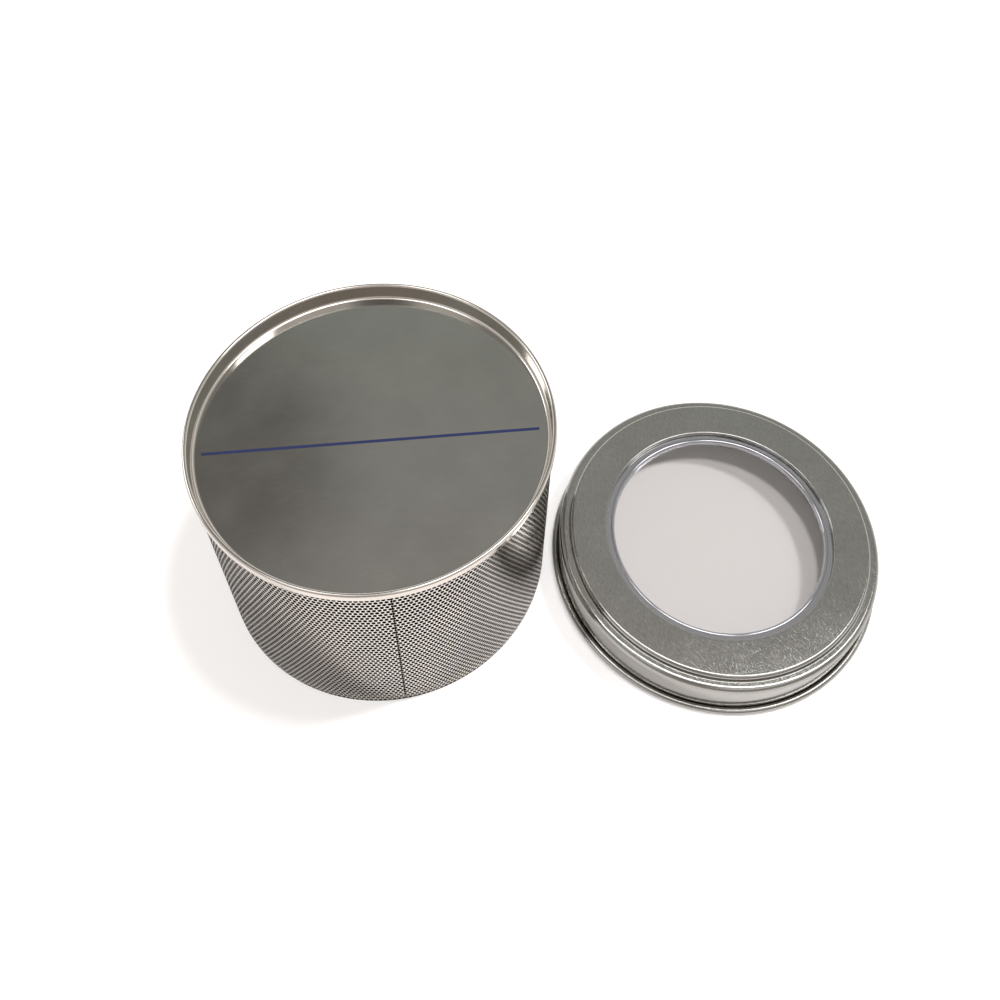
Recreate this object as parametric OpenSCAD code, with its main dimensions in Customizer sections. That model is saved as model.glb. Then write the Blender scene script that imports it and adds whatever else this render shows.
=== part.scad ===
// Round perforated canister with a slip-on window lid, shown as it stands in the photograph:
// the canister upside down on its open mouth, the lid taken off and lying beside it.
// The canister's axis is the Z axis, its mouth rests on z = 0, and the side seam faces -Y.
// Every sheet part is one path through the middle of the sheet, given its thickness and revolved.

/* [Canister] */
// Outside diameter of the perforated wall
wall_d = 98.3; // [70:0.1:140]
// Overall height, from the mouth to the top of the double seam
can_h = 70.5; // [45:0.5:110]
// Thickness of the tinplate sheet
sheet_t = 0.25; // [0.2:0.01:0.35]
// Height of the hem folded inwards round the mouth
hem_h = 2.6; // [2:0.1:4]
// Room inside the hem, between its two layers
hem_gap = 0.5; // [0.4:0.05:0.7]
// Room between layers that are pressed together
press_gap = 0.03; // [0.02:0.005:0.05]

/* [Perforation] */
// Diameter of a hole, drawn coarser than the 0.8 mm holes of the real sheet
hole_d = 3.2; // [1.5:0.1:4]
// Room for one hole along the circumference
hole_pitch = 5.3; // [4.5:0.1:8]
// Height from one row of holes to the next, each row half a pitch on from the last
row_pitch = 4.6; // [4:0.1:8]
// Plain band of sheet between the double seam and the first row of holes
top_band = 1.0; // [0.5:0.1:5]
// Plain band of sheet above the hem, at the mouth
mouth_band = 0.8; // [0.5:0.1:5]
// Width of the butt joint where the two edges of the rolled sheet meet
joint_w = 0.3; // [0.2:0.05:0.8]

/* [End panel] */
// Height of the double seam that joins the end panel to the wall
seam_h = 2.4; // [2.2:0.1:3.5]
// Depth of the flat panel below the top of the seam
sink_depth = 4.8; // [3.8:0.1:8]
// How far the chuck wall leans inwards from the seam down to the panel
chuck_lean = 0.55; // [0.2:0.05:1.5]
// Corner radius where the chuck wall meets the panel
chuck_r = 0.6; // [0.4:0.05:1.2]

/* [Lid] */
// Room between the wall and the inside of the skirt
lid_gap = 0.4; // [0.3:0.05:0.8]
// Height of the flat ring round the window above the lid's hem
lid_h = 15.4; // [12:0.1:25]
// Height of the step between the shoulder and the flat ring
step_h = 1.8; // [1.5:0.1:3]
// Width of the shoulder, from the skirt in to the step
shoulder_w = 2.6; // [2.4:0.1:5]
// How far the step leans inwards from the shoulder up to the flat ring
step_lean = 0.5; // [0.2:0.1:1]
// Corner radius of the pressed edges of the lid
press_r = 0.5; // [0.4:0.05:0.7]
// Corner radius where the shoulder turns down into the skirt
shoulder_r = 1.45; // [0.8:0.05:1.5]
// Outside diameter of the curl rolled outwards at the foot of the skirt
curl_d = 2.1; // [1.6:0.1:3]

/* [Window] */
// Diameter of the opening in the lid
window_d = 70.8; // [40:0.1:76]
// Depth of the opening's turned-down edge below the flat ring
edge_drop = 1.2; // [1:0.1:2]
// Thickness of the clear pane
pane_t = 0.4; // [0.3:0.05:0.8]
// Depth of the pane's middle below its flange
dish_depth = 1.4; // [1:0.05:3]
// Width of the pane's sloping side
dish_slope = 1.1; // [0.8:0.1:2]
// Room between the opening's edge and the foot of the pane's slope
dish_gap = 1.3; // [1:0.1:4]
// How far the retaining ring's flat leg stops short of the opening's edge
ring_set = 1.3; // [0.5:0.1:3]
// Room between the rim of the pane and the upright leg of the retaining ring
pane_room = 0.15; // [0.15:0.05:0.5]

/* [Placing] */
// Room between the canister's wall and the lid that lies beside it
lid_space = 2.9; // [1.5:0.1:60]
// Direction in which the lid lies, in degrees from the +X axis
lid_turn = -12.6; // [-90:0.1:90]

/* [Hidden] */

// Facets of a revolved part and of a hole
round_fn = 180;
hole_fn = 18;
// Steps along a bend in a section
bend_steps = 6;

half_t = sheet_t / 2;
wall_out_r = wall_d / 2;
wall_mid_r = wall_out_r - half_t;
wall_in_r = wall_out_r - sheet_t;
layer = sheet_t + press_gap;

// Double seam: three layers of the end panel folded round two of the wall
seam_mid_r = wall_mid_r + layer;
cap_bend = 2 * layer;
seam_top_z = can_h - half_t - cap_bend;
seam_foot_z = can_h - seam_h + layer + half_t;
panel_z = can_h - sink_depth - half_t;

// Perforated field
field_low_z = hem_h + mouth_band;
field_high_z = can_h - seam_h - top_band;
hole_cols = floor(2 * PI * wall_out_r / hole_pitch);
hole_rows = floor((field_high_z - field_low_z - hole_d) / row_pitch) + 1;
first_row_z = (field_low_z + field_high_z - (hole_rows - 1) * row_pitch) / 2;

// Lid
skirt_mid_r = wall_out_r + lid_gap + half_t;
curl_bend = curl_d / 2 - half_t;
curl_mid_r = skirt_mid_r + curl_bend;
ring_face_z = lid_h - half_t;
shoulder_z = ring_face_z - step_h;
step_low_r = skirt_mid_r - shoulder_w;
step_high_r = step_low_r - step_lean;
edge_mid_r = window_d / 2 + half_t;
edge_curl = 0.3;
edge_turn = 170;
curl_turn = 305;
edge_low_z = ring_face_z - edge_drop + half_t;

lid_far = wall_out_r + lid_space + curl_mid_r + curl_d / 2;
lid_place = lid_far * [cos(lid_turn), sin(lid_turn), 0];

// Window pane and the ring that holds it
flange_z = ring_face_z - edge_drop - press_gap - pane_t / 2;
slope_high_r = window_d / 2 - dish_gap;
slope_low_r = slope_high_r - dish_slope;
holder_r = step_high_r - sheet_t - press_gap;
holder_bend = 0.3;
flange_r = holder_r - sheet_t - pane_room;
holder_z = flange_z - pane_t / 2 - press_gap - half_t;
holder_top_z = ring_face_z - half_t - press_gap;

// Points along an arc from angle a0 to a1 about c
function arc(c, r, a0, a1, n = bend_steps) =
    [for (i = [0 : n]) c + r * [cos(a0 + (a1 - a0) * i / n), sin(a0 + (a1 - a0) * i / n)]];

function unit(v) = v / norm(v);
function left_of(v) = [-v[1], v[0]];

// Corner p between a and b, rounded to radius r
function bend(a, p, b, r, n = bend_steps) =
    let (u = unit(a - p), v = unit(b - p), half = acos(u * v) / 2,
         c = p + unit(u + v) * r / sin(half),
         q0 = p + u * r / tan(half) - c, q1 = p + v * r / tan(half) - c,
         a0 = atan2(q0[1], q0[0]), turn = atan2(q0[0] * q1[1] - q0[1] * q1[0], q0 * q1))
    arc(c, r, a0, a0 + turn, n);

// Direction square to a path at point i
function square_to(path, i) =
    let (last = len(path) - 1,
         u = i > 0 ? unit(path[i] - path[i - 1]) : unit(path[1] - path[0]),
         v = i < last ? unit(path[i + 1] - path[i]) : u,
         m = unit(u + v))
    left_of(m) / (m * v);

// Closed outline of a sheet of thickness t about its middle path
function sheet_outline(path, t) =
    let (last = len(path) - 1)
    concat([for (i = [0 : last]) path[i] + square_to(path, i) * t / 2],
           [for (i = [last : -1 : 0]) path[i] - square_to(path, i) * t / 2]);

module pressed(path, t) {
    rotate_extrude($fn = round_fn) polygon(sheet_outline(path, t));
}

// Rolled sheet: hem at the mouth, straight wall, flange and body hook at the top
module wall_sheet() {
    hem_bend = (sheet_t + hem_gap) / 2;
    hem_mid_r = wall_mid_r - hem_bend;
    pressed(concat(
        [[hem_mid_r - hem_bend, hem_h]],
        arc([hem_mid_r, hem_bend + half_t], hem_bend, 180, 360),
        arc([seam_mid_r, seam_top_z], layer, 180, 0),
        [[seam_mid_r + layer, seam_foot_z + press_gap]]), sheet_t);
}

module hole(z, a) {
    rotate([0, 0, a]) translate([wall_in_r - 1, 0, z]) rotate([0, 90, 0])
        cylinder(h = sheet_t + 2, d = hole_d, $fn = hole_fn);
}

module perforated_wall() {
    color("gainsboro")
    difference() {
        wall_sheet();
        for (row = [0 : hole_rows - 1], col = [0 : hole_cols - 1])
            hole(first_row_z + row * row_pitch, -90 + (col + 0.5 + (row % 2) / 2) * 360 / hole_cols);
        translate([-joint_w / 2, -wall_out_r - 1, field_low_z])
            cube([joint_w, sheet_t + 2, field_high_z - field_low_z]);
    }
}

// Pressed end: flat panel, chuck wall, seaming panel over the wall's flange, cover hook
module end_panel() {
    color("darkgray")
    pressed(concat(
        [[0, panel_z]],
        bend([0, panel_z], [seam_mid_r - cap_bend - chuck_lean, panel_z],
             [seam_mid_r - cap_bend, seam_top_z], chuck_r),
        arc([seam_mid_r, seam_top_z], cap_bend, 180, 0, 2 * bend_steps),
        arc([seam_mid_r + layer, seam_foot_z], layer, 0, -180),
        [[seam_mid_r, seam_top_z]]), sheet_t);
}

// Drawn lid: turned-down edge of the opening, flat ring, step, shoulder, skirt and outward curl
module lid_shell() {
    step_low = [step_low_r, shoulder_z];
    step_high = [step_high_r, ring_face_z];
    edge_high = [edge_mid_r, ring_face_z];
    skirt_high = [skirt_mid_r, shoulder_z];
    color("darkgray")
    translate(lid_place)
        pressed(concat(
            arc([edge_mid_r + edge_curl, edge_low_z + edge_curl], edge_curl, 180 + edge_turn, 180),
            bend(edge_high - [0, 1], edge_high, step_high, press_r),
            bend(edge_high, step_high, step_low, press_r),
            bend(step_high, step_low, skirt_high, press_r),
            bend(step_low, skirt_high, skirt_high - [0, 1], shoulder_r),
            arc([curl_mid_r, curl_d / 2], curl_bend, 180, 180 + curl_turn, 3 * bend_steps)), sheet_t);
}

// Clear formed pane: dished middle, sloping side and flat flange under the opening's edge
module window_pane() {
    slope_low = [slope_low_r, flange_z - dish_depth];
    slope_high = [slope_high_r, flange_z];
    color("lavender", 0.35)
    translate(lid_place)
        pressed(concat(
            [[0, flange_z - dish_depth]],
            bend([0, flange_z - dish_depth], slope_low, slope_high, press_r),
            bend(slope_low, slope_high, [flange_r, flange_z], press_r),
            [[flange_r, flange_z]]), pane_t);
}

// Sprung ring inside the lid that clamps the pane's flange up against the opening's edge
module window_ring() {
    corner = [holder_r - half_t, holder_z];
    color("silver")
    translate(lid_place)
        pressed(concat(
            [[window_d / 2 + ring_set, holder_z]],
            bend([0, holder_z], corner, corner + [0, 1], holder_bend),
            [[corner[0], holder_top_z]]), sheet_t);
}

perforated_wall();
end_panel();
lid_shell();
window_pane();
window_ring();
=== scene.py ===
"""Round perforated tinplate canister and its slip-on window lid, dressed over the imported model."""

import math

import bmesh
import bpy
from bpy.props import FloatProperty, FloatVectorProperty, IntProperty, PointerProperty
from mathutils import Euler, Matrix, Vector


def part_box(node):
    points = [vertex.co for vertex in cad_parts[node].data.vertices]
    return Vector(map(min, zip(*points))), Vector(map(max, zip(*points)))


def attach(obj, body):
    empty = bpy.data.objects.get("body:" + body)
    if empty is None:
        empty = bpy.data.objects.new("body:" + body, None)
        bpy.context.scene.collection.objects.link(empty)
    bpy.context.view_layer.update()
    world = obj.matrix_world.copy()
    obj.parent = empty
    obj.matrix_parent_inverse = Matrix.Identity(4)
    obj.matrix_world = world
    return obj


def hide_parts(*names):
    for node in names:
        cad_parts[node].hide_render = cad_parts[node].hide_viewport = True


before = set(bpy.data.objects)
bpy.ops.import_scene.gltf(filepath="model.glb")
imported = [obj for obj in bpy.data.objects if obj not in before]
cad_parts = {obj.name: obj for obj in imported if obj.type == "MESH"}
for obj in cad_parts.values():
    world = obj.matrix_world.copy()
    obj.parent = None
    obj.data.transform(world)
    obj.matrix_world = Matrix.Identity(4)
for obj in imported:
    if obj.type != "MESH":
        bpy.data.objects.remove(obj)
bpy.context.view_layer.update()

bl_info = {
    "name": "Window Lid Tin",
    "version": (1, 0, 0),
    "blender": (4, 5, 0),
    "location": "View3D > Sidebar > Window Tin",
    "description": "Builds a perforated tinplate canister and its window lid",
    "category": "Add Mesh",
}

MM = 0.001
lid_low, lid_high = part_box("lid_shell")
LID_CENTRE = ((lid_low[0] + lid_high[0]) / 2, (lid_low[1] + lid_high[1]) / 2)

# Width of the strip kept flat beside a bend, so that smooth shading doesn't dish the flats
FLAT_STRIP = 0.1 * MM
# Edges that turn by more than this are drawn crisp
CRISP_ANGLE = math.radians(40)
# Where the lamps look, between the canister and the lid, and how far off they stand
LAMP_AIM = (0.05, -0.01, 0.03)
LAMP_DISTANCE = 1.3


def linear(hex_code):
    """Linear colour for an sRGB hex value."""
    channels = [int(hex_code[i : i + 2], 16) / 255 for i in (1, 3, 5)]
    return [c / 12.92 if c <= 0.04045 else ((c + 0.055) / 1.055) ** 2.4 for c in channels]


def length(name, description, default_mm):
    """Length property, its default in millimetres."""
    return FloatProperty(
        name=name, description=description, default=default_mm * MM, unit="LENGTH", precision=5
    )


def colour(name, description, hex_code):
    """Colour property, its default an sRGB hex value."""
    return FloatVectorProperty(
        name=name, description=description, default=linear(hex_code), subtype="COLOR", min=0, max=1
    )


class CanisterSizes(bpy.types.PropertyGroup):
    """Sizes of the wall and the end panel"""

    wall_diameter: length("Wall Diameter", "Outside diameter of the perforated wall", 98.3)
    height: length("Height", "From the mouth to the top of the double seam", 70.5)
    sheet: length("Sheet", "Thickness of the tinplate", 0.25)
    layer_gap: length("Layer Gap", "Room between folded layers", 0.03)
    hem_height: length("Hem Height", "Height of the hem folded in at the mouth", 2.6)
    hem_gap: length("Hem Gap", "Room inside the hem, between its layers", 0.5)
    seam_height: length("Seam Height", "Height of the double seam", 2.4)
    sink_depth: length("Sink Depth", "Depth of the panel below the seam's top", 4.8)
    chuck_lean: length("Chuck Lean", "How far the chuck wall leans inwards", 0.55)
    chuck_bend: length("Chuck Bend", "Corner radius at the panel's edge", 0.9)
    rule_length: length("Rule Length", "Length of the printed rule across the panel", 90.8)
    rule_width: length("Rule Width", "Width of the printed rule", 0.9)
    rule_film: length("Rule Film", "Thickness of the printed ink", 0.012)
    rule_x: length("Rule X", "Middle of the rule, along X", -0.5)
    rule_y: length("Rule Y", "Middle of the rule, along Y", -3.1)
    rule_angle: FloatProperty(
        name="Rule Angle",
        description="Turn of the printed rule on the panel",
        default=math.radians(-5.7),
        subtype="ANGLE",
    )


class PerforationSizes(bpy.types.PropertyGroup):
    """Sizes of the punched holes"""

    hole: length("Hole", "Width of a punched hole", 1.13)
    hole_height: length(
        "Hole Height", "Height of a hole, drawn taller than it is so that it shows from above", 1.46
    )
    pitch: length("Pitch", "From hole to hole along a row", 1.331)
    row_pitch: length("Row Pitch", "From one row of holes to the next", 1.42)
    first_row: length("First Row", "Height of the lowest row above the mouth", 1.0)
    rows: IntProperty(name="Rows", description="Rows of holes in the wall", default=48, min=3)
    joint: length("Joint", "Width of the butt joint down the wall", 0.3)
    joint_angle: FloatProperty(
        name="Joint Angle",
        description="Where the butt joint stands round the canister",
        default=math.radians(-91.6),
        subtype="ANGLE",
    )


class LidSizes(bpy.types.PropertyGroup):
    """Sizes of the lid, its window and the ring that holds it"""

    skirt_gap: length("Skirt Gap", "Room between the wall and the skirt", 0.4)
    height: length("Height", "From the curl's foot to the flat ring", 15.4)
    step: length("Step", "Height of the step up to the flat ring", 1.8)
    shoulder: length("Shoulder", "Width of the shoulder round the step", 2.85)
    step_lean: length("Step Lean", "How far the step leans inwards", 0.45)
    press_bend: length("Press Bend", "Corner radius of the window's edge and the step's foot", 0.4)
    ring_bend: length("Ring Bend", "Corner radius of the flat ring's outer edge", 0.9)
    shoulder_bend: length("Shoulder Bend", "Corner radius from shoulder to skirt", 1.45)
    curl: length("Curl", "Outside diameter of the curl at the foot", 2.1)
    window: length("Window", "Diameter of the opening", 70.8)
    edge_drop: length("Edge Drop", "Depth of the opening's turned-down edge", 1.2)
    edge_roll: length("Edge Roll", "Radius of the roll at the foot of the opening's edge", 0.3)
    pane: length("Pane", "Thickness of the clear pane", 0.4)
    dish_depth: length("Dish Depth", "Depth of the pane's middle below its flange", 1.4)
    bead_r: length("Bead Radius", "From the pane's centre to the bead formed round its dish", 33.45)
    bead_bend: length("Bead Bend", "Radius of the bead's section", 0.45)
    bead_rise: length("Bead Rise", "Height of the bead above the pane's flange", 0.15)
    fold_bend: length("Fold Bend", "Corner radius of the dish and the retaining ring", 0.3)
    ring_set: length("Ring Set", "From the opening's edge to the retaining ring's leg", 1.3)
    pane_room: length("Pane Room", "From the pane's rim to the ring's leg", 0.15)


class FinishColours(bpy.types.PropertyGroup):
    """Colours of the metals, the plastic, the print and the floor"""

    wall_plate: colour("Wall Plate", "Perforated tinplate of the wall", "#e8e4de")
    # Painted shade: this near-black colour on the wall's inside and its cut edges stands in for the
    # shade in the holes
    wall_inside_painted_shade: colour("Wall Inside", "Lacquer inside the wall and dull cut edges", "#1c120f")
    end_plate: colour("End Plate", "Satin tinplate of the end panel", "#aeaca7")
    # Painted reflection: this lighter colour on the chuck wall and the seam stands in for the light
    # they reflect
    end_painted_bright_bends: colour("End Sides", "Burnished tinplate of the chuck wall and the seam", "#e9e1da")
    lid_plate: colour("Lid Plate", "Brushed tinplate of the lid", "#b0aeaa")
    # Painted reflection: the pane's formed rim is drawn as a silvery mirror in this colour
    pane: colour("Pane", "Clear plastic of the window", "#f6f5f5")
    pane_rim_painted_sheen: colour("Pane Rim", "Formed rim of the window, where light is caught", "#c5c5ca")
    print_ink: colour("Print", "Printed rule on the end panel", "#141f4a")
    floor: colour("Floor", "Paper that the tin stands on", "#e6e4e4")


# Materials


def add(tree, kind, inputs=None, **settings):
    """One node with its settings; an input that is a socket becomes a link."""
    node = tree.nodes.new(kind)
    for name, value in settings.items():
        setattr(node, name, value)
    for name, value in (inputs or {}).items():
        if isinstance(value, bpy.types.NodeSocket):
            tree.links.new(value, node.inputs[name])
        else:
            node.inputs[name].default_value = value
    return node


def new_material(name):
    """Empty node material."""
    material = bpy.data.materials.new(name)
    material.use_nodes = True
    material.node_tree.nodes.clear()
    return material, material.node_tree


def finish_tree(tree, shader):
    """Leads a shader to the material's output."""
    add(tree, "ShaderNodeOutputMaterial", {"Surface": shader})


def tinplate(
    name,
    plate,
    roughness,
    grain_mm,
    grain_depth_mm,
    streaks,
    grain_turn=0.0,
    inside=None,
    painted_bright_bends=None,
):
    """Cold-rolled steel sheet, tinned. The rolls leave fine marks that all run one way, which
    spread a lamp's reflection across them, and handling leaves faint cloudy patches. Real marks
    are a few hundredths of a millimetre wide and are drawn coarser, so that they show. Bends are
    pulled smooth over the tool, so the marks stand up on the flats only. With a colour for the
    inside, the faces towards the axis and the cut edges are painted that near-black colour, a
    painted shade in the holes. With a colour for the painted bright bends, whatever is bent up or
    down is painted brighter than the flats, a painted reflection."""
    cloud_size = 14 * MM
    patchiness = 0.025
    # The marks dim and brighten the plate four times as much as they roughen it
    contrast = 4 * streaks
    material, tree = new_material(name)
    surface = add(tree, "ShaderNodeTexCoord").outputs
    place, normal = surface["Object"], surface["Normal"]
    turned = add(
        tree,
        "ShaderNodeMapping",
        {"Vector": place, "Rotation": (0, 0, grain_turn)},
        vector_type="TEXTURE",
    ).outputs["Vector"]
    grain_width, grain_length = grain_mm
    grain_place = add(
        tree,
        "ShaderNodeMapping",
        {"Vector": turned, "Scale": (grain_length * MM, grain_width * MM, grain_width * MM)},
        vector_type="TEXTURE",
    ).outputs["Vector"]
    grain = add(
        tree,
        "ShaderNodeTexNoise",
        {"Vector": grain_place, "Scale": 1.0, "Detail": 3.0, "Roughness": 0.6},
    ).outputs["Fac"]
    cloud = add(
        tree,
        "ShaderNodeTexNoise",
        {"Vector": place, "Scale": 1 / cloud_size, "Detail": 3.0, "Roughness": 0.55},
    ).outputs["Fac"]
    shade = add(
        tree,
        "ShaderNodeMapRange",
        {"Value": cloud, "From Min": 0.3, "From Max": 0.7, "To Min": 0.95, "To Max": 1.04},
    ).outputs["Result"]
    rough_cloud = add(
        tree,
        "ShaderNodeMapRange",
        {
            "Value": cloud,
            "From Min": 0.3,
            "From Max": 0.7,
            "To Min": roughness - patchiness,
            "To Max": roughness + patchiness,
        },
    ).outputs["Result"]
    rough_grain = add(
        tree,
        "ShaderNodeMapRange",
        {"Value": grain, "From Min": 0.35, "From Max": 0.65, "To Min": -streaks, "To Max": streaks},
    ).outputs["Result"]
    rough = add(
        tree, "ShaderNodeMath", {0: rough_cloud, 1: rough_grain}, operation="ADD", use_clamp=True
    ).outputs["Value"]
    marks = add(
        tree,
        "ShaderNodeMapRange",
        {
            "Value": grain,
            "From Min": 0.35,
            "From Max": 0.65,
            "To Min": 1 - contrast,
            "To Max": 1 + contrast,
        },
    ).outputs["Result"]
    shade = add(
        tree, "ShaderNodeMath", {0: shade, 1: marks}, operation="MULTIPLY"
    ).outputs["Value"]
    facing_up = add(tree, "ShaderNodeSeparateXYZ", {"Vector": normal}).outputs["Z"]
    on_flats = add(
        tree,
        "ShaderNodeMapRange",
        {"Value": facing_up, "From Min": 0.95, "From Max": 0.99, "To Min": 0.05, "To Max": 1.0},
    ).outputs["Result"]
    # Painted reflection: faces bent up or down take the painted brighter colour, the flats take the
    # plate
    sheet_tone = add(
        tree,
        "ShaderNodeMix",
        {"Factor": on_flats, "A": (*(painted_bright_bends or plate), 1), "B": (*plate, 1)},
        data_type="RGBA",
    ).outputs["Result"]
    plate_tone = add(
        tree,
        "ShaderNodeMix",
        {"Factor": 1.0, "A": sheet_tone, "B": shade},
        data_type="RGBA",
        blend_type="MULTIPLY",
    ).outputs["Result"]
    bump = add(
        tree,
        "ShaderNodeBump",
        {"Height": grain, "Strength": on_flats, "Distance": grain_depth_mm * MM},
    ).outputs["Normal"]
    shader = add(
        tree,
        "ShaderNodeBsdfPrincipled",
        {"Base Color": plate_tone, "Metallic": 1.0, "Roughness": rough, "Normal": bump},
    ).outputs["BSDF"]
    # Painted shade: the faces towards the axis and the holes' cut edges take a near-black coat, so
    # the holes look dark
    if inside is not None:
        painted_shade_coat = add(
            tree,
            "ShaderNodeBsdfPrincipled",
            {"Base Color": (*inside, 1), "Roughness": 0.6, "Specular IOR Level": 0.2},
        ).outputs["BSDF"]
        level = add(
            tree, "ShaderNodeVectorMath", {0: place, 1: (1, 1, 0)}, operation="MULTIPLY"
        ).outputs["Vector"]
        outwards = add(
            tree, "ShaderNodeVectorMath", {0: level}, operation="NORMALIZE"
        ).outputs["Vector"]
        facing = add(
            tree, "ShaderNodeVectorMath", {0: outwards, 1: normal}, operation="DOT_PRODUCT"
        ).outputs["Value"]
        # The cut edges of the holes face sideways and count as inside
        outside = add(
            tree, "ShaderNodeMath", {0: facing, 1: 0.7}, operation="GREATER_THAN"
        ).outputs["Value"]
        shader = add(
            tree, "ShaderNodeMixShader", {"Fac": outside, 1: painted_shade_coat, 2: shader}
        ).outputs["Shader"]
    finish_tree(tree, shader)
    return material


def pet_sheet(name, tint, painted_rim_tint, bead_r):
    """Clear polyester sheet, vacuum formed. It lets lamps through, so the floor under it stays lit.
    Its formed rim is painted as a silvery, faintly violet mirror, a painted reflection of light
    caught in the rim."""
    haze_size = 9 * MM
    material, tree = new_material(name)
    place = add(tree, "ShaderNodeTexCoord").outputs["Object"]
    haze = add(
        tree, "ShaderNodeTexNoise", {"Vector": place, "Scale": 1 / haze_size, "Detail": 2.0}
    ).outputs["Fac"]
    rough = add(
        tree,
        "ShaderNodeMapRange",
        {"Value": haze, "From Min": 0.3, "From Max": 0.7, "To Min": 0.01, "To Max": 0.04},
    ).outputs["Result"]
    plastic = add(
        tree,
        "ShaderNodeBsdfPrincipled",
        {"Base Color": (*tint, 1), "Roughness": rough, "IOR": 1.57, "Transmission Weight": 1.0},
    ).outputs["BSDF"]
    painted_reflection = add(
        tree,
        "ShaderNodeBsdfPrincipled",
        {"Base Color": (*painted_rim_tint, 1), "Metallic": 1.0, "Roughness": 0.06},
    ).outputs["BSDF"]
    level = add(
        tree, "ShaderNodeVectorMath", {0: place, 1: (1, 1, 0)}, operation="MULTIPLY"
    ).outputs["Vector"]
    from_centre = add(
        tree, "ShaderNodeVectorMath", {0: level, 1: (*LID_CENTRE, 0.0)}, operation="DISTANCE"
    ).outputs["Value"]
    # Clear up to the dish's side; the painted reflection covers the side and the bead, and a little
    # less of the flange
    dish_edge, side_top = bead_r - 0.8 * MM, bead_r - 0.65 * MM
    bead_foot, flange_start = bead_r + 0.5 * MM, bead_r + 0.8 * MM
    rise = add(
        tree,
        "ShaderNodeMapRange",
        {"Value": from_centre, "From Min": dish_edge, "From Max": side_top},
    ).outputs["Result"]
    fall = add(
        tree,
        "ShaderNodeMapRange",
        {
            "Value": from_centre,
            "From Min": bead_foot,
            "From Max": flange_start,
            "To Min": 0.90,
            "To Max": 0.86,
        },
    ).outputs["Result"]
    painted_rim_mask = add(
        tree, "ShaderNodeMath", {0: rise, 1: fall}, operation="MULTIPLY"
    ).outputs["Value"]
    formed = add(
        tree, "ShaderNodeMixShader", {"Fac": painted_rim_mask, 1: plastic, 2: painted_reflection}
    ).outputs["Shader"]
    clear = add(tree, "ShaderNodeBsdfTransparent", {"Color": (*tint, 1)}).outputs["BSDF"]
    path = add(tree, "ShaderNodeLightPath")
    lamp_ray = add(
        tree,
        "ShaderNodeMath",
        {0: path.outputs["Is Shadow Ray"], 1: path.outputs["Is Diffuse Ray"]},
        operation="MAXIMUM",
    ).outputs["Value"]
    sheet = add(tree, "ShaderNodeMixShader", {"Fac": lamp_ray, 1: formed, 2: clear})
    finish_tree(tree, sheet.outputs["Shader"])
    return material


def offset_print(name, ink):
    """Stoved offset ink on tinplate: matt against the metal, slightly uneven in cover."""
    speck_size = 0.6 * MM
    material, tree = new_material(name)
    place = add(tree, "ShaderNodeTexCoord").outputs["Object"]
    cover = add(
        tree, "ShaderNodeTexNoise", {"Vector": place, "Scale": 1 / speck_size, "Detail": 2.0}
    ).outputs["Fac"]
    shade = add(
        tree,
        "ShaderNodeMapRange",
        {"Value": cover, "From Min": 0.3, "From Max": 0.7, "To Min": 0.85, "To Max": 1.15},
    ).outputs["Result"]
    tone = add(
        tree,
        "ShaderNodeMix",
        {"Factor": 1.0, "A": (*ink, 1), "B": shade},
        data_type="RGBA",
        blend_type="MULTIPLY",
    ).outputs["Result"]
    coat = add(tree, "ShaderNodeBsdfPrincipled", {"Base Color": tone, "Roughness": 0.45})
    finish_tree(tree, coat.outputs["BSDF"])
    return material


# Sheet parts, drawn as a section in the XZ plane and spun round the part's axis


def start_sheet(r, z):
    """The section's first point."""
    section = bmesh.new()
    return section, section.verts.new((r, 0.0, z))


def run_sheet(section, tip, r, z):
    """Carries the sheet straight on to a point."""
    tip = bmesh.ops.extrude_vert_indiv(section, verts=[tip])["verts"][0]
    tip.co = (r, 0.0, z)
    return tip


def roll_sheet(section, tip, centre_r, centre_z, turn, steps):
    """Rolls the sheet on round a centre, clockwise seen with the axis on the left."""
    rolled = bmesh.ops.spin(
        section,
        geom=[tip],
        cent=(centre_r, 0.0, centre_z),
        axis=(0.0, 1.0, 0.0),
        dvec=(0.0, 0.0, 0.0),
        angle=turn,
        steps=steps,
        use_duplicate=False,
    )
    return next(part for part in rolled["geom_last"] if isinstance(part, bmesh.types.BMVert))


def press_corner(section, corner, radius):
    """Rounds a corner of the section to a radius."""
    one, other = (edge.other_vert(corner).co - corner.co for edge in corner.link_edges)
    reach = radius / math.tan(one.angle(other) / 2)
    bmesh.ops.bevel(
        section,
        geom=[corner],
        offset=reach,
        offset_type="OFFSET",
        affect="VERTICES",
        segments=6,
        profile=0.5,
        material=-1,
    )


def hold_flats(section):
    """Puts a narrow strip at each end of a long flat, beside its bends."""
    for flat in [edge for edge in section.edges if edge.calc_length() > 6 * FLAT_STRIP]:
        near, far = flat.verts
        split = bmesh.utils.edge_split(flat, near, FLAT_STRIP / flat.calc_length())[1]
        rest = next(edge for edge in split.link_edges if edge.other_vert(split) is far)
        bmesh.utils.edge_split(rest, far, FLAT_STRIP / rest.calc_length())


def spin_sheet(name, section, thickness, centre=(0.0, 0.0), steps=288):
    """Spins the section into a closed round sheet and gives it its thickness."""
    hold_flats(section)
    bmesh.ops.spin(
        section,
        geom=section.verts[:] + section.edges[:],
        cent=(0.0, 0.0, 0.0),
        axis=(0.0, 0.0, 1.0),
        dvec=(0.0, 0.0, 0.0),
        angle=2 * math.pi,
        steps=steps,
        use_merge=True,
        use_duplicate=False,
    )
    bmesh.ops.remove_doubles(section, verts=section.verts, dist=0.0005 * MM)
    bmesh.ops.recalc_face_normals(section, faces=section.faces)
    bmesh.ops.translate(section, vec=(centre[0], centre[1], 0.0), verts=section.verts)
    return thicken(name, section, thickness)


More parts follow.
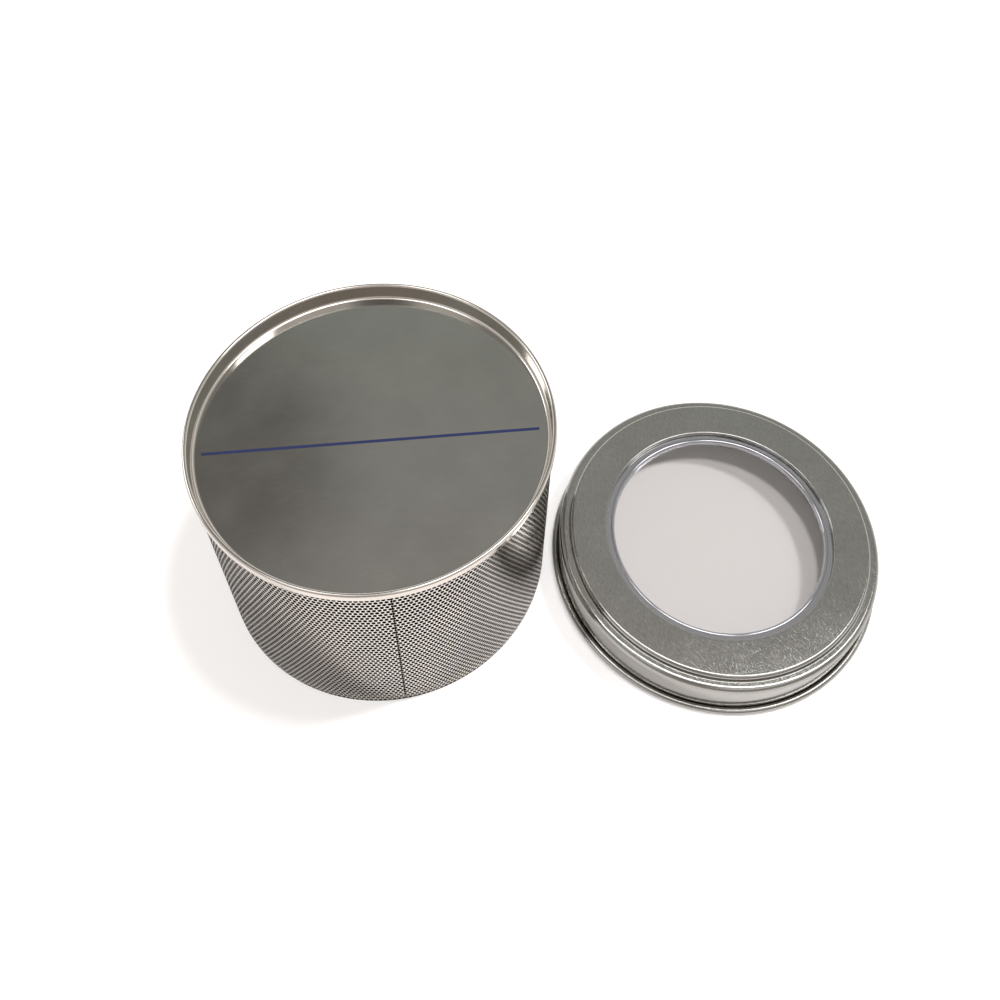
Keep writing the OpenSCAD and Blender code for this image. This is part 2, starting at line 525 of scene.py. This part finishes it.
def thicken(name, surface, thickness):
    """Object from a sheet's middle surface, with its thickness in the mesh and crisp cut edges."""
    mesh = bpy.data.meshes.new(name)
    surface.to_mesh(mesh)
    surface.free()
    piece = bpy.data.objects.new(name, mesh)
    bpy.context.collection.objects.link(piece)
    sheet = piece.modifiers.new("Sheet", "SOLIDIFY")
    sheet.thickness = thickness
    sheet.offset = 0.0
    sheet.use_even_offset = True
    bpy.context.view_layer.update()
    solid = piece.evaluated_get(bpy.context.evaluated_depsgraph_get())
    piece.data = bpy.data.meshes.new_from_object(solid)
    piece.modifiers.clear()
    bpy.data.meshes.remove(mesh)
    piece.data.name = name
    piece.data.shade_smooth()
    piece.data.set_sharp_from_angle(angle=CRISP_ANGLE)
    return piece


def dress(piece, material, body, slot, *nodes):
    """Gives a piece its material and its body, and says which nodes it stands for. The slot is not
    used.
    """
    piece.data.materials.clear()
    piece.data.materials.append(material)
    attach(piece, body)
    if nodes:
        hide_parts(*nodes)


# Perforated sheet, punched flat and then rolled up


def punched_cell(pitch, row_pitch, hole, hole_height):
    """One hole and the web round it, out to half-way to its neighbours, flat in the XY plane."""
    cell = bmesh.new()
    ring = bmesh.ops.create_circle(cell, cap_ends=False, radius=hole / 2, segments=8)["verts"]
    web = bmesh.ops.extrude_edge_only(cell, edges=cell.edges[:])["geom"]
    # The web's eight outer points go to the cell's corners and to the middles of its sides
    for vert in (part for part in web if isinstance(part, bmesh.types.BMVert)):
        across, up = round(vert.co.x / hole * 2), round(vert.co.y / hole * 2)
        vert.co.x, vert.co.y = across * pitch / 2, up * row_pitch / 2
    bmesh.ops.scale(cell, vec=(1.0, hole_height / hole, 1.0), verts=ring)
    return cell


def repeat(sheet, step, count):
    """Copies everything on the sheet in a line."""
    bmesh.ops.spin(
        sheet,
        geom=sheet.verts[:] + sheet.edges[:] + sheet.faces[:],
        cent=(0.0, 0.0, 0.0),
        axis=(0.0, 0.0, 1.0),
        dvec=(*step, 0.0),
        angle=0.0,
        steps=count - 1,
        use_duplicate=True,
    )


def cut_sheet(sheet, place, outwards):
    """Shears the flat sheet off along a straight line."""
    bmesh.ops.bisect_plane(
        sheet,
        geom=sheet.verts[:] + sheet.edges[:] + sheet.faces[:],
        dist=0.0001 * MM,
        plane_co=(*place, 0.0),
        plane_no=(*outwards, 0.0),
        clear_outer=True,
    )


def punched_sheet(holes, radius, low, rows, odd):
    """Flat strip of perforated sheet, one turn round the canister long, its lowest row at low.
    An odd strip starts half a pitch on."""
    turn = 2 * math.pi * radius
    sheet = punched_cell(holes.pitch, holes.row_pitch, holes.hole, holes.hole_height)
    upper = bmesh.ops.duplicate(sheet, geom=sheet.verts[:] + sheet.edges[:] + sheet.faces[:])
    raised = [part for part in upper["geom"] if isinstance(part, bmesh.types.BMVert)]
    bmesh.ops.translate(sheet, vec=(holes.pitch / 2, holes.row_pitch, 0.0), verts=raised)
    repeat(sheet, (0.0, 2 * holes.row_pitch), rows // 2)
    repeat(sheet, (holes.pitch, 0.0), math.ceil(turn / holes.pitch) + 3)
    start = -holes.pitch - (holes.pitch / 2 if odd else 0.0)
    bmesh.ops.translate(sheet, vec=(start, low, 0.0), verts=sheet.verts)
    bmesh.ops.remove_doubles(sheet, verts=sheet.verts, dist=0.001 * MM)
    cut_sheet(sheet, (holes.joint / 2, 0.0), (-1.0, 0.0))
    cut_sheet(sheet, (turn - holes.joint / 2, 0.0), (1.0, 0.0))
    return sheet


def roll_up(sheet, radius, start_angle):
    """Rolls the flat sheet up round the canister's axis."""
    for vert in sheet.verts:
        angle = start_angle + vert.co.x / radius
        vert.co = (radius * math.cos(angle), radius * math.sin(angle), vert.co.y)


# Operators, one for each piece or group of like pieces and one for the stage


class WINDOWTIN_OT_perforated_wall(bpy.types.Operator):
    """Rolled perforated wall with its hem at the mouth and its flange in the seam"""

    bl_idname = "windowtin.perforated_wall"
    bl_label = "Perforated Wall"

    def execute(self, context):
        can, holes = context.scene.windowtin_canister, context.scene.windowtin_holes
        colours = context.scene.windowtin_colours
        # Bright tinplate as it leaves the rolls: the palest plate here, its mirror a bit blurred
        finish = {
            "plate": colours.wall_plate,
            "roughness": 0.2,
            "grain_mm": (0.3, 2.0),
            "grain_depth_mm": 0.0006,
            "streaks": 0.01,
        }
        plate = tinplate("bright_tinplate", **finish)
        # The same plate, punched, and painted near-black on the side that becomes the inside:
        # painted shade in the holes
        punched = tinplate("punched_tinplate", inside=colours.wall_inside_painted_shade, **finish)
        middle = can.wall_diameter / 2 - can.sheet / 2
        layer = can.sheet + can.layer_gap
        # The wall is one sheet. It is split by height because each third holds as many faces as
        # one piece may have.
        third = holes.rows // 3
        fold_z = can.sheet + can.hem_gap / 2
        for part, word in enumerate(("low", "middle", "high")):
            low = holes.first_row + part * third * holes.row_pitch
            sheet = punched_sheet(holes, middle, low, third, False)
            cut_sheet(sheet, (0.0, fold_z), (0.0, -1.0))
            roll_up(sheet, middle, holes.joint_angle)
            piece = thicken("wall_" + word, sheet, can.sheet)
            dress(piece, punched, "canister", "perforated_tinplate", "perforated_wall")
        # Hem: the sheet turned up inside the mouth, punched like the rest of it
        inner = middle - can.sheet - can.hem_gap
        sheet = punched_sheet(holes, inner, holes.first_row, 2, True)
        cut_sheet(sheet, (0.0, fold_z), (0.0, -1.0))
        cut_sheet(sheet, (0.0, can.hem_height), (0.0, 1.0))
        roll_up(sheet, inner, holes.joint_angle)
        piece = thicken("wall_hem", sheet, can.sheet)
        dress(piece, plate, "canister", "perforated_tinplate", "perforated_wall")
        section, tip = start_sheet(inner, fold_z)
        roll_sheet(section, tip, (inner + middle) / 2, fold_z, -math.pi, steps=12)
        piece = spin_sheet("wall_fold", section, can.sheet)
        dress(piece, plate, "canister", "perforated_tinplate", "perforated_wall")
        # Plain sheet from half a row above the holes, then flange and hook in the double seam
        field_high = holes.first_row + (holes.rows - 0.5) * holes.row_pitch
        seam_top = can.height - can.sheet / 2 - 2 * layer
        hook_foot = can.height - can.seam_height + layer + can.sheet / 2 + can.layer_gap
        section, tip = start_sheet(middle, field_high)
        tip = run_sheet(section, tip, middle, seam_top)
        tip = roll_sheet(section, tip, middle + layer, seam_top, math.pi, steps=10)
        run_sheet(section, tip, middle + 2 * layer, hook_foot)
        piece = spin_sheet("wall_flange", section, can.sheet)
        dress(piece, plate, "canister", "perforated_tinplate", "perforated_wall")
        return {"FINISHED"}


class WINDOWTIN_OT_end_panel(bpy.types.Operator):
    """Pressed end panel with its chuck wall, folded over the wall's flange"""

    bl_idname = "windowtin.end_panel"
    bl_label = "End Panel"

    def execute(self, context):
        can, colours = context.scene.windowtin_canister, context.scene.windowtin_colours
        layer = can.sheet + can.layer_gap
        seam_r = can.wall_diameter / 2 - can.sheet / 2 + layer
        panel_z = can.height - can.sink_depth - can.sheet / 2
        seam_top = can.height - can.sheet / 2 - 2 * layer
        seam_foot = can.height - can.seam_height + layer + can.sheet / 2
        section, tip = start_sheet(0.0, panel_z)
        foot = run_sheet(section, tip, seam_r - 2 * layer - can.chuck_lean, panel_z)
        tip = run_sheet(section, foot, seam_r - 2 * layer, seam_top)
        tip = roll_sheet(section, tip, seam_r, seam_top, math.pi, steps=18)
        tip = run_sheet(section, tip, seam_r + 2 * layer, seam_foot)
        tip = roll_sheet(section, tip, seam_r + layer, seam_foot, math.pi, steps=10)
        run_sheet(section, tip, seam_r, seam_top)
        press_corner(section, foot, can.chuck_bend)
        piece = spin_sheet("end_panel_pressed", section, can.sheet)
        # Satin tinplate under clear varnish: a soft grey mirror, painted brighter where it is bent,
        # a painted reflection on the chuck wall and the seam
        plate = tinplate(
            "satin_tinplate",
            colours.end_plate,
            roughness=0.12,
            grain_mm=(0.25, 5.0),
            grain_depth_mm=0.0003,
            streaks=0.006,
            grain_turn=0.1,
            painted_bright_bends=colours.end_painted_bright_bends,
        )
        dress(piece, plate, "canister", "end_tinplate", "end_panel")
        return {"FINISHED"}


class WINDOWTIN_OT_printed_rule(bpy.types.Operator):
    """Plain rule printed across the end panel"""

    bl_idname = "windowtin.printed_rule"
    bl_label = "Printed Rule"

    def execute(self, context):
        can, colours = context.scene.windowtin_canister, context.scene.windowtin_colours
        rule = bmesh.new()
        bmesh.ops.create_grid(rule, x_segments=1, y_segments=1, size=0.5)
        bmesh.ops.scale(rule, vec=(can.rule_length, can.rule_width, 1.0), verts=rule.verts)
        film = bmesh.ops.extrude_face_region(rule, geom=rule.faces[:])["geom"]
        top = [part for part in film if isinstance(part, bmesh.types.BMVert)]
        bmesh.ops.translate(rule, vec=(0.0, 0.0, can.rule_film), verts=top)
        bmesh.ops.recalc_face_normals(rule, faces=rule.faces)
        bmesh.ops.rotate(
            rule,
            cent=(0.0, 0.0, 0.0),
            matrix=Euler((0.0, 0.0, can.rule_angle)).to_matrix(),
            verts=rule.verts,
        )
        place = (can.rule_x, can.rule_y, can.height - can.sink_depth)
        bmesh.ops.translate(rule, vec=place, verts=rule.verts)
        mesh = bpy.data.meshes.new("printed_rule")
        rule.to_mesh(mesh)
        rule.free()
        piece = bpy.data.objects.new("printed_rule", mesh)
        bpy.context.collection.objects.link(piece)
        ink = offset_print("stoved_offset_ink", colours.print_ink)
        dress(piece, ink, "canister", "end_tinplate")
        return {"FINISHED"}


class WINDOWTIN_OT_lid_shell(bpy.types.Operator):
    """Drawn lid: window edge, flat ring, step, shoulder, skirt and outward curl"""

    bl_idname = "windowtin.lid_shell"
    bl_label = "Lid Shell"

    def execute(self, context):
        can, lid = context.scene.windowtin_canister, context.scene.windowtin_lid
        colours = context.scene.windowtin_colours
        half = can.sheet / 2
        skirt_r = can.wall_diameter / 2 + lid.skirt_gap + half
        face_z = lid.height - half
        shoulder_z = face_z - lid.step
        step_low_r = skirt_r - lid.shoulder
        step_high_r = step_low_r - lid.step_lean
        edge_r = lid.window / 2 + half
        # The opening's edge turns down and rolls back outwards, ending just short of half a turn
        roll_r = edge_r + lid.edge_roll
        roll_z = face_z - lid.edge_drop + half + lid.edge_roll
        edge_turn = math.radians(170)
        section, tip = start_sheet(
            roll_r - lid.edge_roll * math.cos(edge_turn),
            roll_z - lid.edge_roll * math.sin(edge_turn),
        )
        tip = roll_sheet(section, tip, roll_r, roll_z, edge_turn, steps=8)
        inner_high = run_sheet(section, tip, edge_r, face_z)
        outer_high = run_sheet(section, inner_high, step_high_r, face_z)
        outer_low = run_sheet(section, outer_high, step_low_r, shoulder_z)
        shoulder = run_sheet(section, outer_low, skirt_r, shoulder_z)
        tip = run_sheet(section, shoulder, skirt_r, lid.curl / 2)
        curl_r = lid.curl / 2 - half
        curl_turn = math.radians(-305)
        roll_sheet(section, tip, skirt_r + curl_r, lid.curl / 2, curl_turn, steps=28)
        for corner in (inner_high, outer_low):
            press_corner(section, corner, lid.press_bend)
        press_corner(section, outer_high, lid.ring_bend)
        press_corner(section, shoulder, lid.shoulder_bend)
        piece = spin_sheet("lid_drawn_shell", section, can.sheet, LID_CENTRE)
        # Brushed tinplate: short scratches along one line that catch the lamps on the flat ring
        plate = tinplate(
            "brushed_tinplate",
            colours.lid_plate,
            roughness=0.10,
            grain_mm=(0.27, 1.8),
            grain_depth_mm=0.052,
            streaks=0.03,
            grain_turn=math.radians(-78),
        )
        dress(piece, plate, "lid", "lid_tinplate", "lid_shell")
        return {"FINISHED"}


class WINDOWTIN_OT_window(bpy.types.Operator):
    """Clear formed pane and the sprung ring that clamps it in the lid"""

    bl_idname = "windowtin.window"
    bl_label = "Window"

    def execute(self, context):
        can, lid = context.scene.windowtin_canister, context.scene.windowtin_lid
        colours = context.scene.windowtin_colours
        half = can.sheet / 2
        skirt_r = can.wall_diameter / 2 + lid.skirt_gap + half
        face_z = lid.height - half
        # The retaining ring stands against the inside of the step
        holder_r = skirt_r - lid.shoulder - lid.step_lean - can.sheet - can.layer_gap
        flange_z = face_z - lid.edge_drop - can.layer_gap - lid.pane / 2
        dish_z = flange_z - lid.dish_depth
        bead_z = flange_z + lid.bead_rise - lid.bead_bend
        crease = math.asin((flange_z - bead_z) / lid.bead_bend)
        section, tip = start_sheet(0.0, dish_z)
        foot = run_sheet(section, tip, lid.bead_r - lid.bead_bend, dish_z)
        tip = run_sheet(section, foot, lid.bead_r - lid.bead_bend, bead_z)
        tip = roll_sheet(section, tip, lid.bead_r, bead_z, math.pi - crease, steps=12)
        run_sheet(section, tip, holder_r - can.sheet - lid.pane_room, flange_z)
        press_corner(section, foot, lid.fold_bend)
        piece = spin_sheet("window_clear_pane", section, lid.pane, LID_CENTRE)
        clear = pet_sheet("clear_pet_sheet", colours.pane, colours.pane_rim_painted_sheen, lid.bead_r)
        dress(piece, clear, "lid", "clear_plastic", "window_pane")
        holder_z = flange_z - lid.pane / 2 - can.layer_gap - half
        section, tip = start_sheet(lid.window / 2 + lid.ring_set, holder_z)
        corner = run_sheet(section, tip, holder_r - half, holder_z)
        run_sheet(section, corner, holder_r - half, face_z - half - can.layer_gap)
        press_corner(section, corner, lid.fold_bend)
        piece = spin_sheet("window_clamp_ring", section, can.sheet, LID_CENTRE)
        # Mill tinplate, left as it was rolled: duller, since nobody sees it
        plate = tinplate(
            "mill_tinplate",
            colours.end_plate,
            roughness=0.28,
            grain_mm=(0.3, 6.0),
            grain_depth_mm=0.0005,
            streaks=0.03,
        )
        dress(piece, plate, "lid", "lid_tinplate", "window_ring")
        return {"FINISHED"}


def soft_lamp(name, direction, size, watts, tint):
    """Round soft lamp that looks at the tin from a direction."""
    light = bpy.data.lights.new(name, "AREA")
    light.shape = "DISK"
    light.size = size
    light.energy = watts
    light.color = tint
    lamp = bpy.data.objects.new(name, light)
    away = Vector(direction).normalized()
    lamp.location = Vector(LAMP_AIM) + away * LAMP_DISTANCE
    lamp.rotation_euler = away.to_track_quat("Z", "Y").to_euler()
    bpy.context.collection.objects.link(lamp)
    return lamp


class WINDOWTIN_OT_stage(bpy.types.Operator):
    """Pale floor, plain soft studio light and the camera"""

    bl_idname = "windowtin.stage"
    bl_label = "Stage"

    def execute(self, context):
        scene = context.scene
        colours = scene.windowtin_colours
        can = scene.windowtin_canister

        camera = bpy.data.cameras.new("camera")
        camera.sensor_width = 36.0
        camera.lens = 37.61
        camera.shift_x = -0.0359
        camera.shift_y = -0.2151
        camera.clip_start, camera.clip_end = 0.01, 50.0
        eye = bpy.data.objects.new("camera", camera)
        eye.location = (0.0, -161.88 * MM, 307.95 * MM)
        eye.rotation_euler = [math.radians(a) for a in (41.283, -2.259, -12.394)]
        scene.collection.objects.link(eye)
        scene.camera = eye

        mesh = bpy.data.meshes.new("floor")
        ground = bmesh.new()
        bmesh.ops.create_grid(ground, x_segments=1, y_segments=1, size=4.0)
        ground.to_mesh(mesh)
        ground.free()
        floor = bpy.data.objects.new("floor", mesh)
        scene.collection.objects.link(floor)
        mesh.materials.append(self.paper(colours.floor, can.wall_diameter / 2))

        self.room(scene)
        # Lamps that light what is matt and throw the shadows; metal and glass don't show them
        for name, direction, size, watts in (
            ("lamp_high", (0.20, 0.02, 0.98), 0.15, 7.2),
            ("lamp_right", (0.52, 0.05, 0.85), 0.15, 7.8),
            ("lamp_low_left", (-0.75, 0.10, 0.45), 0.30, 8.0),
        ):
            lamp = soft_lamp(name, direction, size, watts, (1.0, 0.99, 0.985))
            lamp.visible_glossy = False
        # Lamps that draw the white lines on the bends; only metal and glass show them
        for name, direction, size, watts in (
            ("line_lamp_high", (0.12, 0.04, 0.99), 0.42, 2.3),
            ("line_lamp_right", (0.46, -0.02, 0.88), 0.42, 2.4),
            ("line_lamp_left", (-0.26, 0.12, 0.96), 0.32, 0.9),
            ("line_lamp_far", (-0.55, 0.45, 0.70), 0.40, 1.5),
        ):
            lamp = soft_lamp(name, direction, size, watts, (1.0, 1.0, 1.0))
            lamp.visible_diffuse = False

        scene.view_settings.view_transform = "Standard"
        return {"FINISHED"}

    @staticmethod
    def paper(tone, can_r):
        """Matt white paper, which looks brighter to the camera than it is to the light, so that
        the background is white. Inside the canister it is painted near-black, a painted shadow."""
        material, tree = new_material("matt_paper")
        place = add(tree, "ShaderNodeTexCoord").outputs["Object"]
        from_axis = add(
            tree, "ShaderNodeVectorMath", {0: place, 1: (0.0, 0.0, 0.0)}, operation="DISTANCE"
        ).outputs["Value"]
        outside = add(
            tree, "ShaderNodeMath", {0: from_axis, 1: can_r}, operation="GREATER_THAN"
        ).outputs["Value"]
        # Painted shadow: the paper inside the canister's circle is painted near-black
        shade = add(
            tree,
            "ShaderNodeMix",
            {"Factor": outside, "A": (*linear("#1e1a17"), 1), "B": (*tone, 1)},
            data_type="RGBA",
        ).outputs["Result"]
        matt = add(tree, "ShaderNodeBsdfDiffuse", {"Color": shade}).outputs["BSDF"]
        path = add(tree, "ShaderNodeLightPath").outputs
        # How much brighter, and what share of that shows through the pane and in the metal
        lift_strength, pane_share, metal_share = 0.40, 0.12, 0.25
        through_pane = path["Is Transmission Ray"]
        in_metal = add(
            tree,
            "ShaderNodeMath",
            {0: path["Is Glossy Ray"], 1: through_pane},
            operation="SUBTRACT",
            use_clamp=True,
        ).outputs["Value"]
        lift = path["Is Camera Ray"]
        for ray, share in ((through_pane, pane_share), (in_metal, metal_share)):
            part = add(
                tree, "ShaderNodeMath", {0: ray, 1: share}, operation="MULTIPLY"
            ).outputs["Value"]
            lift = add(
                tree, "ShaderNodeMath", {0: lift, 1: part}, operation="MAXIMUM"
            ).outputs["Value"]
        for share in (outside, lift_strength):
            lift = add(
                tree, "ShaderNodeMath", {0: lift, 1: share}, operation="MULTIPLY"
            ).outputs["Value"]
        glow = add(
            tree, "ShaderNodeEmission", {"Color": (1, 1, 1, 1), "Strength": lift}
        ).outputs["Emission"]
        both = add(tree, "ShaderNodeAddShader", {0: matt, 1: glow})
        finish_tree(tree, both.outputs["Shader"])
        return material

    @staticmethod
    def room(scene):
        """A pale room, whitest low down and greyer above, with the camera's dark place in it."""
        world = bpy.data.worlds.new("room")
        scene.world = world
        world.use_nodes = True
        tree = world.node_tree
        tree.nodes.clear()
        direction = add(tree, "ShaderNodeTexCoord").outputs["Generated"]
        height = add(tree, "ShaderNodeSeparateXYZ", {"Vector": direction}).outputs["Z"]
        # The tone by height, from the floor's edge up to the ceiling
        ramp = add(tree, "ShaderNodeValToRGB", {"Fac": height})
        stops = ramp.color_ramp.elements
        stops[0].position, stops[0].color = 0.30, (*linear("#e7e6e4"), 1)
        stops[1].position, stops[1].color = 1.0, (*linear("#b5b2af"), 1)
        for place, hex_code in ((0.60, "#a6a7a3"), (0.74, "#aeb3ad"), (0.88, "#b5b3b0")):
            stops.new(place).color = (*linear(hex_code), 1)
        tone = ramp.outputs["Color"]
        # Round patches of another tone: where each lies, the cosines of the angles at which it
        # starts and is full, its colour and its strength. In order: the wall behind the camera,
        # the bright ceiling over it, the camera's own dark place, and a dim place opposite
        for middle, starts, full, hex_code, strength in (
            ((0.0, -1.0, 0.25), 0.50, 0.85, "#a39c94", 0.75),
            ((0.0, -0.30, 0.95), 0.80, 0.90, "#ffffff", 0.90),
            ((-0.20, -0.50, 0.84), 0.96, 0.992, "#3a332e", 0.80),
            ((-0.16, 0.55, 0.82), 0.986, 0.9985, "#5d5550", 0.60),
        ):
            towards = add(
                tree,
                "ShaderNodeVectorMath",
                {0: direction, 1: Vector(middle).normalized()},
                operation="DOT_PRODUCT",
            ).outputs["Value"]
            patch = add(
                tree,
                "ShaderNodeMapRange",
                {"Value": towards, "From Min": starts, "From Max": full, "To Max": strength},
                interpolation_type="SMOOTHSTEP",
            ).outputs["Result"]
            tone = add(
                tree,
                "ShaderNodeMix",
                {"Factor": patch, "A": tone, "B": (*linear(hex_code), 1)},
                data_type="RGBA",
            ).outputs["Result"]
        # Matt surfaces get less light from the room than metal mirrors, and warmer light, so
        # that the lamps' shadows stay as deep as they should be
        on_matt = add(tree, "ShaderNodeLightPath").outputs["Is Diffuse Ray"]
        tone = add(
            tree,
            "ShaderNodeMix",
            {"Factor": on_matt, "A": tone, "B": (0.60, 0.56, 0.53, 1)},
            data_type="RGBA",
            blend_type="MULTIPLY",
        ).outputs["Result"]
        light = add(tree, "ShaderNodeBackground", {"Color": tone, "Strength": 1.0})
        add(tree, "ShaderNodeOutputWorld", {"Surface": light.outputs["Background"]})


class WINDOWTIN_PT_panel(bpy.types.Panel):
    """Lists the steps that build the tin"""

    bl_idname = "WINDOWTIN_PT_panel"
    bl_label = "Window Lid Tin"
    bl_space_type = "VIEW_3D"
    bl_region_type = "UI"
    bl_category = "Window Tin"

    def draw(self, context):
        layout = self.layout
        for group in ("canister", "holes", "lid", "colours"):
            sizes = getattr(context.scene, "windowtin_" + group)
            box = layout.box()
            for name in sizes.bl_rna.properties.keys():
                if name not in ("rna_type", "name"):
                    box.prop(sizes, name)
        for step in STEPS:
            layout.operator(step.bl_idname)


STEPS = (
    WINDOWTIN_OT_stage,
    WINDOWTIN_OT_perforated_wall,
    WINDOWTIN_OT_end_panel,
    WINDOWTIN_OT_printed_rule,
    WINDOWTIN_OT_lid_shell,
    WINDOWTIN_OT_window,
)
GROUPS = {
    "windowtin_canister": CanisterSizes,
    "windowtin_holes": PerforationSizes,
    "windowtin_lid": LidSizes,
    "windowtin_colours": FinishColours,
}


def register():
    """Adds the sizes, the operators and the panel."""
    for group in GROUPS.values():
        bpy.utils.register_class(group)
    for step in (*STEPS, WINDOWTIN_PT_panel):
        bpy.utils.register_class(step)
    for name, group in GROUPS.items():
        setattr(bpy.types.Scene, name, PointerProperty(type=group))


def unregister():
    """Takes away the panel, the operators and the sizes."""
    for name in GROUPS:
        delattr(bpy.types.Scene, name)
    for step in (WINDOWTIN_PT_panel, *STEPS):
        bpy.utils.unregister_class(step)
    for group in GROUPS.values():
        bpy.utils.unregister_class(group)


def main():
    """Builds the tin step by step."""
    register()
    for step in STEPS:
        family, name = step.bl_idname.split(".")
        getattr(getattr(bpy.ops, family), name)()
    bpy.context.view_layer.update()


if __name__ == "__main__":
    main()
